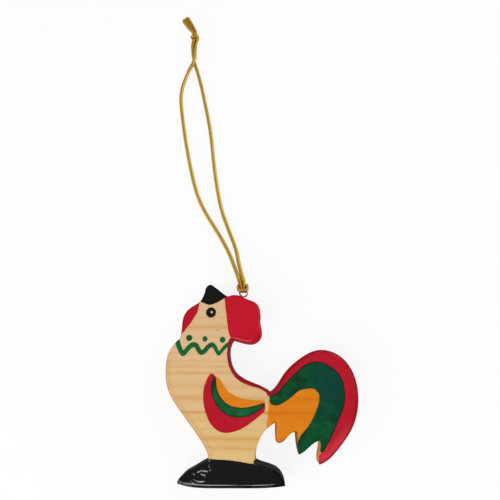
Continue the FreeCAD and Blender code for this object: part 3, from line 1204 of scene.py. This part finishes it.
        # Painted shade: dark brown along stretches of the edge.
        shade_line = bench.edge_shade() * (bench.edge + bench.shake).rise(0.60, 0.20)
        smoother = red_cover.most(black_cover) * (lacquer.wood_roughness - lacquer.paint_roughness)
        bench.connect(bench.shader, {
            "Base Color": bench.layer(bench.bare_wood(), (
                (self.wood.speck, bench.covered(Paint.SPECK, 0.2) * front * 0.7),
                (bench.orange(), bench.covered(Paint.ORANGE) * front * 0.97),
                (bench.red(), red_cover * front),
                (bench.green(), bench.covered(Paint.GREEN) * front),
                (enamel.overlap, bench.overlap() * front * 0.75),
                (enamel.deep_red, bench.covered(Paint.SADDLE_RED) * front),
                (side_red, side_cover),
                (self.wood.edge_shade, shade_line * 0.75),
                (black, black_cover * z.rise(0.1, 0.6)),
                (enamel.white, white_cover * front),
            )),
            "Roughness": lacquer.wood_roughness - smoother, "Specular IOR Level": 0.0,
            "Coat Weight": bench.coat(), "Coat Roughness": lacquer.roughness,
            "Coat IOR": lacquer.index,
        })
        pools = bench.noise(4.5, 2)
        peel = bench.noise(0.7, 1)
        saw = bench.noise((0.35, 0.35, 9), 2) * z.rise(self.thickness - 1.2, self.thickness - 2.0)
        bench.relief(pools * 0.9 + peel * 0.05 + bench.late * 0.06 + bench.streak * 0.03
                     + saw * 0.35, lacquer.relief)
        return bench.material


@dataclass(frozen=True)
class WireFinish:
    """Dull plated steel wire, tinted pink as a painted reflection of the red comb."""

    # Both colours are tinted pink as a painted reflection of the red comb.
    metal: str = "EDE4E0"
    shadow: str = "BFB2AD"
    roughness: float = 0.24
    tarnish_roughness: float = 0.18
    drawing_marks: float = 0.01


@dataclass
class ScrewEye:
    """The screw eye: wire bent into a ring, a neck and a shank that goes down into the head.

    Sizes are in millimetres and turns in degrees.
    """

    node: str = "screw_eye"
    wire: float = 0.35
    sides: int = 24
    closed_turn: float = 353.0
    last_turn: float = 268.0
    ring_places: int = 84
    shank_places: int = 30
    cut_end: float = 0.7
    neck: float = 0.35
    plain_neck: float = 0.9
    thickening: float = 0.3
    thread: float = 0.13
    point: float = 1.2
    finish: WireFinish = WireFinish()

    def build(self) -> Object:
        """Carry the wire's round section along the ring and down the shank.

        The ring is an arc of closed_turn degrees about its own middle, and its wire bends into
        the neck over a short curve.

        Returns:
            The screw eye.
        """
        low, high = (np.array(corner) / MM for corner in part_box(self.node))
        middle_x, middle_z = (low[0] + high[0]) / 2, (low[2] + high[2]) / 2
        radius = (high[0] - low[0]) / 2 - self.wire
        centre_y = high[1] - self.wire - radius
        foot_y = centre_y - radius
        turn = np.radians(np.linspace(270 - self.closed_turn, self.last_turn, self.ring_places))
        down = np.linspace(foot_y - self.neck, low[1] + 0.05, self.shank_places)
        across = np.append(middle_x + radius * np.cos(turn), np.full(len(down), middle_x))
        along = np.append(centre_y + radius * np.sin(turn), down)
        path = np.stack([across, along, np.full(len(along), middle_z)], 1)
        depth = np.clip((foot_y - self.plain_neck - along) / self.thickening, 0, 1)
        tip = np.clip((along - low[1]) / self.point, 0.05, 1)
        size = (self.wire + self.thread * depth) * tip
        size[0] *= self.cut_end
        wire = carry(path, size, self.sides, "eye_wire_piece")
        wire.data.materials.append(self.dress())
        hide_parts(self.node)
        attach(wire, "rooster")
        LOG.info("screw eye: ring radius %.2f mm", radius)
        return wire

    def dress(self) -> bpy.types.Material:
        """Plated steel with drawing marks, a little tarnish and a painted pink reflection of the
        comb.

        Returns:
            The finished material.
        """
        bench = Bench("plated_wire")
        tarnish = bench.noise(0.8, 3).rise(-0.6, 0.9)
        colour = bench.blend(self.finish.metal, self.finish.shadow, tarnish)
        rough = self.finish.roughness + tarnish * self.finish.tarnish_roughness
        bench.connect(bench.shader, {"Base Color": colour, "Roughness": rough, "Metallic": 1.0})
        bench.relief(bench.noise((0.1, 0.6, 0.1), 2), self.finish.drawing_marks)
        return bench.material


def frames_along(path: Array) -> tuple[Array, Array]:
    """Directions across a path: each is the last one, laid square to the path's next direction,
    so that the section never twists.

    Args:
        path: points in order.

    Returns:
        Two directions for each point, square to the path and to each other.
    """
    tangent = np.gradient(path, axis=0)
    tangent /= np.linalg.norm(tangent, axis=1)[:, None]
    first = np.cross(tangent[0], (0.0, 0.0, 1.0))
    if np.linalg.norm(first) < 0.1:
        first = np.cross(tangent[0], (1.0, 0.0, 0.0))
    across = [first / np.linalg.norm(first)]
    for step in tangent[1:]:
        laid = across[-1] - step * (across[-1] @ step)
        across.append(laid / np.linalg.norm(laid))
    side = np.array(across)
    return side, np.cross(tangent, side)


def carry(path: Array, radius: Union[Array, Callable[[Array, Array], Array]], sides: int,
          name: str, stored: Optional[dict[str, Callable[[Array, Array], Array]]] = None
          ) -> Object:
    """Closed tube whose section is carried along a path, in millimetres.

    The point at angle a and distance s is path(s) + radius * (cos a * side + sin a * up).

    Args:
        path: centre line.
        radius: one for each place on the path, or a function of angle and distance.
        sides: points round the section.
        name: of the new object.
        stored: functions of angle and distance that are kept as numbers on the mesh.

    Returns:
        The tube, capped at both ends.
    """
    side, up = frames_along(path)
    angle = 2 * math.pi * np.arange(sides) / sides
    grid_a, grid_s = np.meshgrid(angle, distance_along(path))
    size = radius(grid_a, grid_s) if callable(radius) else radius[:, None]
    ring = (path[:, None, :] + size[..., None] * (np.cos(grid_a)[..., None] * side[:, None, :]
                                                  + np.sin(grid_a)[..., None] * up[:, None, :]))
    rows = len(path)
    points = np.vstack([ring.reshape(-1, 3), path[:1], path[-1:]])
    index = np.arange(rows * sides).reshape(rows, sides)
    ahead = np.roll(index, -1, axis=1)
    quads = np.stack([index[:-1], ahead[:-1], ahead[1:], index[1:]], -1).reshape(-1, 4)
    first = np.stack([np.full(sides, rows * sides), ahead[0], index[0]], 1)
    last = np.stack([np.full(sides, rows * sides + 1), index[-1], ahead[-1]], 1)
    mesh = smooth_mesh(name, points, quads.tolist() + first.tolist() + last.tolist())
    for key, rule in (stored or {}).items():
        values = rule(grid_a, grid_s).ravel()
        keep_numbers(mesh, key, np.append(values, values[[0, -1]]))
    return put(name, mesh)


@dataclass(frozen=True)
class BraidFinish:
    """Gold metallic braid."""

    gold: str = "CDA644"
    # A painted highlight on the yarn's crests, and painted shade in its grooves.
    bright: str = "EACB6A"
    groove: str = "866020"
    # The hitch's tint: redder, and darker partly as painted shade.
    hitch_tint_and_shade: str = "F2D4B4"
    knot_glaze: str = "ECDC98"
    # Painted shade where stretches of the cord press together.
    crease_shade: str = "54300C"
    roughness: float = 0.30
    metallic: float = 0.65
    fibre_relief: float = 0.02


RING_TOP = (-6.400, 34.415, 5.500)
HITCH_ROUTE = tuple((RING_TOP[0] + x, RING_TOP[1] + y, RING_TOP[2] + z) for x, y, z in (
    (-1.76, 3.40, 0.70), (-1.08, 1.16, 1.43), (-0.53, -1.23, 1.16), (-0.57, -1.22, -1.15),
    (-1.30, 1.35, -1.05), (-2.30, 1.15, 1.19), (-1.75, -1.10, 2.25), (-0.12, -0.85, 2.45),
    (1.50, -1.10, 2.25), (1.42, 1.40, 1.20), (1.25, 1.40, -1.05), (0.57, -1.22, -1.15),
    (0.56, -1.22, 1.15), (0.14, 1.15, 1.42), (-0.10, 3.40, 0.70),
))
LEFT_ROUTE = (HITCH_ROUTE[0],) + (
    (-10.0, 43.2, 5.0), (-13.1, 51.0, 3.2), (-18.1, 60.0, 1.4), (-23.0, 67.8, 0.80),
    (-27.3, 77.4, 0.77), (-31.6, 96.5, 0.77), (-34.3, 112.5, 0.77), (-35.9, 125.5, 0.77),
    (-32.8, 136.6, 0.77), (-29.35, 141.8, 2.65), (-29.38, 146.0, 2.35), (-29.70, 149.0, 0.82),
    (-29.72, 151.0, 0.77),
)
RIGHT_ROUTE = (HITCH_ROUTE[-1],) + (
    (-8.2, 43.2, 5.0), (-9.4, 50.5, 3.3), (-13.2, 60.5, 1.4), (-16.2, 69.0, 0.80),
    (-18.0, 78.0, 0.77), (-19.9, 91.0, 0.77), (-21.3, 104.5, 0.77), (-24.2, 119.5, 0.77),
    (-27.3, 133.5, 0.77), (-30.1, 142.3, 0.77), (-30.95, 147.1, 0.77), (-31.16, 151.0, 0.77),
)
KNOT_CORE_ROUTE = (
    (-31.16, 151.0, 0.77), (-30.71, 152.9, 1.49), (-30.0, 154.7, 2.23), (-30.53, 157.2, 2.07),
    (-32.46, 160.5, 1.10), (-35.8, 165.7, 1.16),
)
KNOT_TURN_ROUTE = (
    (-29.72, 151.0, 0.77), (-29.55, 152.9, 0.80), (-28.5, 154.4, 1.70), (-28.75, 154.7, 3.50),
    (-31.05, 154.2, 3.57), (-31.50, 155.0, 1.06), (-29.5, 156.4, 0.69), (-30.46, 159.7, 1.02),
    (-34.4, 166.8, 1.16),
)


@dataclass(frozen=True)
class Tube:
    """One braided tube of the cord, with its centre line and length in millimetres."""

    piece: Object
    line: Array
    length: float


@dataclass
class Cord:
    """The gold cord: girth hitch, two free strands and the end knot.

    Sizes are in millimetres; a share is of a tube's length.
    """

    diameter: float = 1.66
    hitch_diameter: float = 1.12
    hitch_end_share: float = 0.085
    band_diameter: float = 1.45
    band_share: float = 0.09
    drawn_diameter: float = 1.46
    drawn_run: float = 12.0
    knot_diameter: float = 1.50
    tail_diameter: float = 2.35
    tail_start: float = 0.45
    tail_growth: float = 0.25
    end_round: float = 1.0
    yarns: int = 6
    pitch: float = 5.2
    yarn_relief: float = 0.085
    yarn_dip: float = 0.45
    sides: int = 30
    ring_spacing: float = 0.11
    crease_reach: float = 0.42
    crease_skip: float = 3.2
    finish: BraidFinish = BraidFinish()

    def __post_init__(self) -> None:
        """Start with no tubes made."""
        self.tubes: list[Tube] = []

    def centre_line(self, name: str, route: Sequence[Sequence[float]]) -> Array:
        """Smooth line of a route: a NURBS spline whose control points are the route's.

        Args:
            name: of the spline.
            route: points in millimetres.

        Returns:
            Places on the line, ring_spacing apart, in millimetres.
        """
        data = bpy.data.curves.new(name, "CURVE")
        data.dimensions = "3D"
        spline = data.splines.new("NURBS")
        spline.points.add(len(route) - 1)
        for point, place in zip(spline.points, route):
            point.co = (*(value * MM for value in place), 1.0)
        spline.order_u = 3
        spline.use_endpoint_u = True
        spline.resolution_u = 24
        holder = put(name, data)
        bpy.context.view_layer.update()
        mesh = bpy.data.meshes.new_from_object(holder)
        line = points_of(mesh)
        bpy.data.meshes.remove(mesh)
        bpy.data.objects.remove(holder)
        bpy.data.curves.remove(data)
        length = distance_along(line)[-1]
        return places_along(line, np.linspace(0, length, max(2, round(length / self.ring_spacing))))

    def _yarn(self, angle: Array, distance: Array) -> Array:
        """Height of the braid's yarns, from 0 in a groove to 1 on a crest.

        Two sets of yarns climb the cord, one each way.  Where they cross, they take turns to lie
        on top: each cell shows the set whose turn it is, round across the yarn and falling off
        towards both ends of the cell.

        Args:
            angle: round the cord.
            distance: along it, in millimetres.

        Returns:
            The height.
        """
        climb = distance / self.pitch * self.yarns
        one = self.yarns * angle / (2 * math.pi) + climb
        other = self.yarns * angle / (2 * math.pi) - climb
        off_one = one - np.floor(one) - 0.5
        off_other = other - np.floor(other) - 0.5
        on_top = (np.floor(one) + np.floor(other)) % 2 < 1
        across = np.where(on_top, off_one, off_other)
        lengthwise = np.where(on_top, off_other, off_one)
        return (np.sqrt(np.maximum(1 - (2 * across) ** 2, 0))
                * (1 - self.yarn_dip * (1 - np.cos(math.pi * lengthwise))))

    def _tube(self, name: str, node: str, route: Sequence[Sequence[float]],
              width: Callable[[Array, float], Array]) -> Tube:
        """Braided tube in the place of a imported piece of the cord.

        Args:
            name: of the new piece.
            node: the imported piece.
            route: control points of its centre line.
            width: diameter from the distance along the tube and its length.

        Returns:
            The tube.
        """
        line = self.centre_line(f"{name}_line", route)
        length = float(distance_along(line)[-1])
        piece = carry(
            line, lambda a, s: width(s, length) / 2 - self.yarn_relief * (1 - self._yarn(a, s)),
            self.sides, name, {"yarn": self._yarn})
        piece.data.materials.append(self.material)
        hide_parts(node)
        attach(piece, "hanger")
        LOG.info("%s: %.1f mm", name, length)
        self.tubes.append(Tube(piece, line, length))
        return self.tubes[-1]

    def build(self) -> list[Object]:
        """Make every stretch of the cord, in place of its imported pieces.

        Returns:
            The pieces.
        """
        self.material = self.dress()
        self._tube("cord_hitch", "girth_hitch", HITCH_ROUTE, self._hitch_width)
        self._tube("cord_knot_core", "end_knot", KNOT_CORE_ROUTE, self._knot_width)
        self._tube("cord_knot_turn", "end_knot", KNOT_TURN_ROUTE, self._knot_width)
        bound = [tube.piece for tube in self.tubes]
        for node, route, ends in (("cord_left", LEFT_ROUTE, bound), ("cord_right", RIGHT_ROUTE, [])):
            strand = self._tube(f"{node}_strand", node, route, self._strand_width)
        for tube in self.tubes:
            self._mark_creases(tube)
        return [tube.piece for tube in self.tubes]

    def _mark_creases(self, tube: Tube) -> None:
        """Mark on a tube how closely another stretch of the cord presses on it, for painted shade.

        A point's gap is its distance to a centre line less the cord's radius.  The mark is 1 where
        the gap is nothing and falls to 0 at crease_reach.  Places less than crease_skip away along
        the cord don't count, on the tube's own line or over the joint to the next one.

        Args:
            tube: the tube, marked in place.
        """
        radius = self.knot_diameter / 2
        skip = self.crease_skip / self.ring_spacing
        own = tube.line
        places = points_of(tube.piece.data)
        ring = np.minimum(np.arange(len(places)) // self.sides, len(own) - 1)[:, None]
        gap = np.full(len(places), np.inf)
        for line in (other.line for other in self.tubes):
            thin = line[::3]
            number = np.arange(len(line))[::3]
            apart = (places ** 2).sum(1)[:, None] + (thin ** 2).sum(1) - 2 * places @ thin.T
            if line is own:
                apart[np.abs(number - ring) < skip] = np.inf
            else:
                for here, there in product((0, len(own) - 1), (0, len(line) - 1)):
                    if np.linalg.norm(own[here] - line[there]) < radius / 4:
                        apart[np.abs(number - there) + np.abs(ring - here) < skip] = np.inf
            gap = np.minimum(gap, np.sqrt(np.maximum(apart.min(axis=1), 0)) - radius)
        keep_numbers(tube.piece.data, "crease_shade", np.clip(1 - gap / self.crease_reach, 0, 1))

    def _strand_width(self, distance: Array, length: float) -> Array:
        """Diameter along a free strand: full, then drawn thinner where it nears the knot."""
        drawn = np.clip((distance - length + self.drawn_run) / self.drawn_run * 2, 0, 1)
        return self.diameter + (self.drawn_diameter - self.diameter) * drawn

    def _hitch_width(self, distance: Array, length: float) -> Array:
        """Diameter along the hitch: squeezed where it goes through the ring, full in the band.

        Args:
            distance: along the hitch.
            length: of the hitch.

        Returns:
            The diameter.
        """
        share = distance / length
        ends = np.exp(-(np.minimum(share, 1 - share) / self.hitch_end_share) ** 2)
        band = np.exp(-((share - 0.5) / self.band_share) ** 4)
        return (self.hitch_diameter + (self.diameter - self.hitch_diameter) * ends
                + (self.band_diameter - self.hitch_diameter) * band)

    def _knot_width(self, distance: Array, length: float) -> Array:
        """Diameter along a strand of the knot: tight at first, slack and rounded in the cut tail.

        Args:
            distance: along the strand.
            length: of the strand.

        Returns:
            The diameter.
        """
        tail = np.clip((distance / length - self.tail_start) / self.tail_growth, 0, 1)
        start = np.exp(-distance ** 2)
        end = np.clip((length - distance) / self.end_round, 0.02, 1)
        return (self.knot_diameter + (self.tail_diameter - self.knot_diameter) * tail
                + (self.drawn_diameter - self.knot_diameter) * start) * np.sqrt(end * (2 - end))

    def dress(self) -> bpy.types.Material:
        """Metallic yarn: a painted highlight on its crests and painted shade in its grooves and
        where stretches press together; redder and darker in the hitch, partly as painted shade, and
        greener in the knot.

        Returns:
            The finished material.
        """
        bench, finish = Bench("gold_braid"), self.finish
        crest = bench.attribute("yarn")
        sparkle = bench.noise(0.25, 3, 0.7)
        slow = bench.noise(6, 1)
        _, y, _ = bench.axes()
        # Painted shade in the grooves and creases, and a painted highlight on the crests.
        colour = bench.layer(finish.groove, (
            (finish.gold, (crest + sparkle * 0.12).rise(0.0, 0.62)),
            (finish.bright, (crest + sparkle * 0.3 + slow * 0.15).rise(0.85, 1.25) * 0.6),
            (finish.crease_shade, bench.attribute("crease_shade") * 0.85),
        ))
        # The hitch is tinted redder and darker, partly as painted shade.
        colour = bench.blend(colour, finish.hitch_tint_and_shade, y.rise(38.5, 37), Blend.GLAZE)
        colour = bench.blend(colour, finish.knot_glaze, y.rise(148, 152), Blend.GLAZE)
        bench.connect(bench.shader, {
            "Base Color": colour, "Roughness": finish.roughness + sparkle * 0.08,
            "Metallic": finish.metallic,
        })
        bench.relief(sparkle, finish.fibre_relief)
        return bench.material


@dataclass(frozen=True)
class Lamp:
    """One soft lamp that faces the rooster: its place and size in metres, its power in watts."""

    name: str
    place: tuple[float, float, float]
    size: float
    power: float

    def hang(self) -> None:
        """Put the lamp in the scene."""
        data = bpy.data.lights.new(self.name, "AREA")
        data.shape = "DISK"
        data.size = self.size
        data.energy = self.power
        lamp = put(self.name, data)
        lamp.location = self.place
        lamp.rotation_mode = "QUATERNION"
        lamp.rotation_quaternion = (-Vector(self.place)).to_track_quat("-Z", "Y")


@dataclass
class Studio:
    """Pale table, pale room and soft light.

    The room dims from low_level to overhead_level between two heights of the direction seen, 0
    for level and 1 for straight up.
    """

    reach: float = 3.0
    low_level: float = 1.0
    overhead_level: float = 0.22
    dimming: tuple[float, float] = (0.15, 0.8)
    table_glow: float = 0.88
    lamps: tuple[Lamp, ...] = (
        Lamp("key_lamp", (-0.46, -0.30, 0.42), 0.80, 3.5),
        Lamp("fill_lamp", (0.50, 0.26, 0.42), 0.80, 2.3),
        Lamp("near_spot", (-0.01, -0.25, 0.50), 0.06, 0.09),
        Lamp("left_spot", (-0.09, -0.24, 0.50), 0.10, 0.22),
    )

    def build(self) -> None:
        """Lay the table and hang the lights."""
        self._table()
        self._room()
        for lamp in self.lamps:
            lamp.hang()

    def _table(self) -> None:
        """The table: white to the camera, with the object's shadow kept on it."""
        half = self.reach
        mesh = bpy.data.meshes.new("table_top")
        mesh.from_pydata([(-half, -half, 0), (half, -half, 0), (half, half, 0), (-half, half, 0)],
                         [], [(0, 1, 2, 3)])
        bench = Bench("pale_table")
        bench.connect(bench.shader, {"Base Color": (0.95, 0.95, 0.95, 1), "Roughness": 0.9,
                                     "Specular IOR Level": 0.0})
        rays = bench.node("ShaderNodeLightPath")
        camera, glossy, through = (Signal(bench, rays.outputs[f"Is {kind} Ray"])
                                   for kind in ("Camera", "Glossy", "Transmission"))
        glow = bench.node("ShaderNodeEmission", {}, {"Color": (1, 1, 1, 1), "Strength": 1.0})
        share = (camera + glossy + through).least(1.0) * self.table_glow
        mixed = bench.node("ShaderNodeMixShader", {},
                           {0: share, 1: bench.shader.outputs[0], 2: glow.outputs[0]})
        bench.connect(bench.output, {0: mixed.outputs[0]})
        mesh.materials.append(bench.material)
        put("table_top", mesh)

    def _room(self) -> None:
        """The room: white low down and dim overhead."""
        world = bpy.data.worlds.new("pale_room")
        bpy.context.scene.world = world
        world.use_nodes = True
        maker = NodeMaker(world.node_tree)
        way = maker.node("ShaderNodeTexCoord").outputs["Generated"]
        up = Signal(maker, maker.node("ShaderNodeSeparateXYZ", {}, {0: way}).outputs[2])
        level = up.rise(*self.dimming) * (self.overhead_level - self.low_level) + self.low_level
        room = maker.node("ShaderNodeBackground", {}, {"Strength": level})
        maker.node("ShaderNodeOutputWorld", {}, {0: room.outputs[0]})


def main() -> None:
    """Build the camera, the cord, the board, the screw eye and the room."""
    logging.basicConfig(level=logging.INFO, format="%(name)s: %(message)s")
    bpy.context.scene.view_settings.view_transform = "Standard"
    board = Board()
    board.photo.make_camera()
    Cord().build()
    board.build()
    ScrewEye().build()
    Studio().build()


if __name__ == "__main__":
    main()
